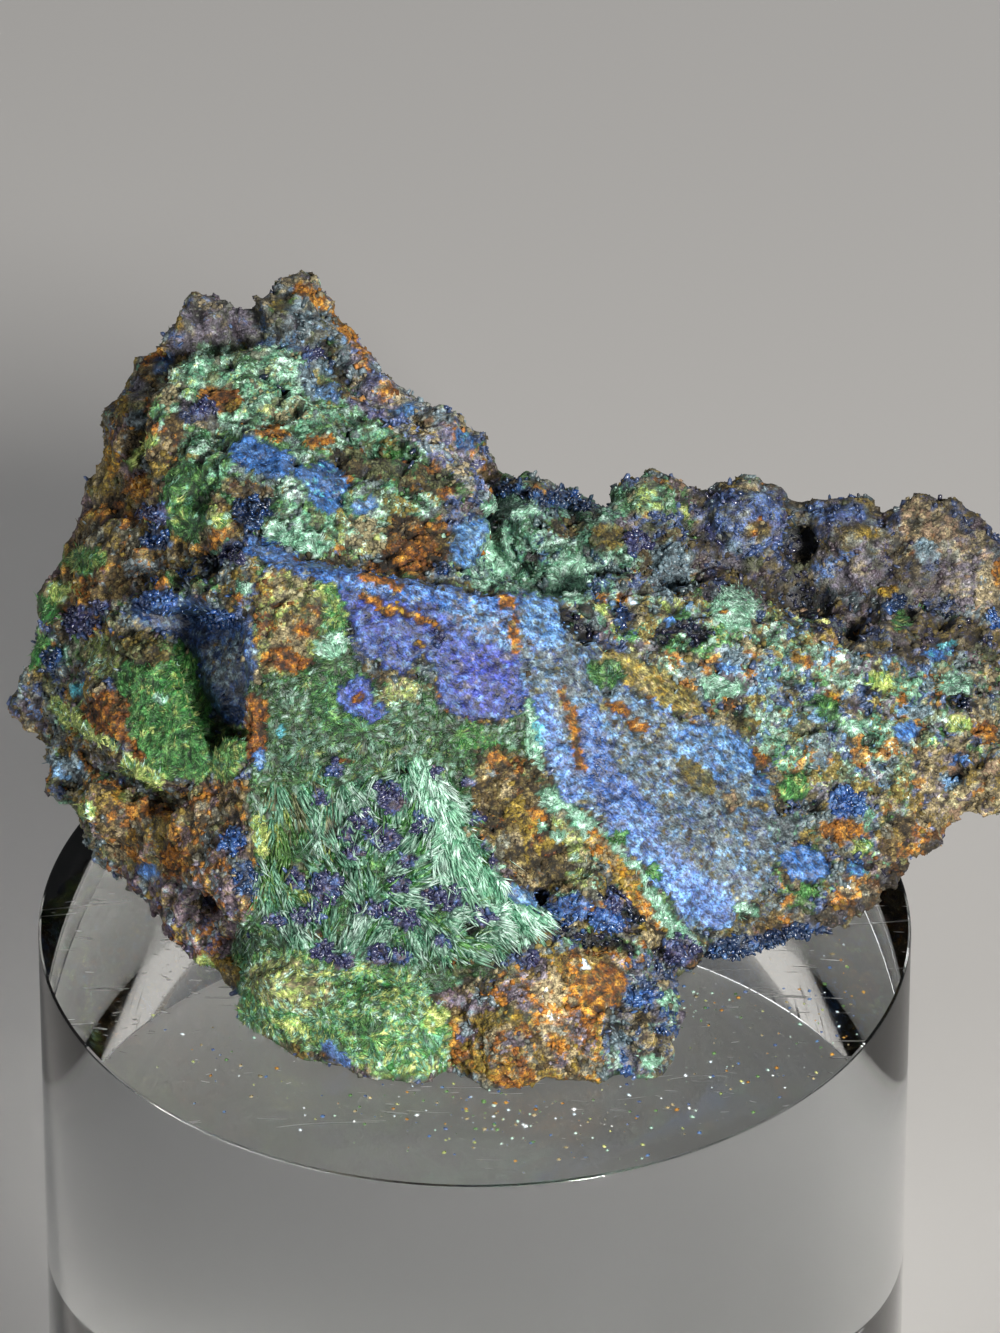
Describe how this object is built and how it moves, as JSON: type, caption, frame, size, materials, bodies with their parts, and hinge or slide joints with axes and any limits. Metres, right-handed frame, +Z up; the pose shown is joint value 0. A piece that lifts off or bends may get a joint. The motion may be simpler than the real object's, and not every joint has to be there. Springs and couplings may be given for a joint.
{
  "type": "azurite specimen",
  "caption": "Rough stone of blue azurite and green malachite with rusty limonite, resting on a clear acrylic display cylinder.",
  "frame": {"origin": "centre of the acrylic cylinder's foot, on the surface that it stands on", "axes": "+Z up along the cylinder's axis; +Y away from the side of the stone that the picture shows, which faces -Y; +X towards the stone's long right arm"},
  "size_m": [0.0904, 0.0838, 0.1009],
  "materials": {
    "azurite_malachite_stone": "matte",
    "clear_acrylic": "polished"
  },
  "bodies": {
    "root": {"specimen": "azurite_malachite_stone", "acrylic_cylinder": "clear_acrylic"}
  },
  "joints": []
}
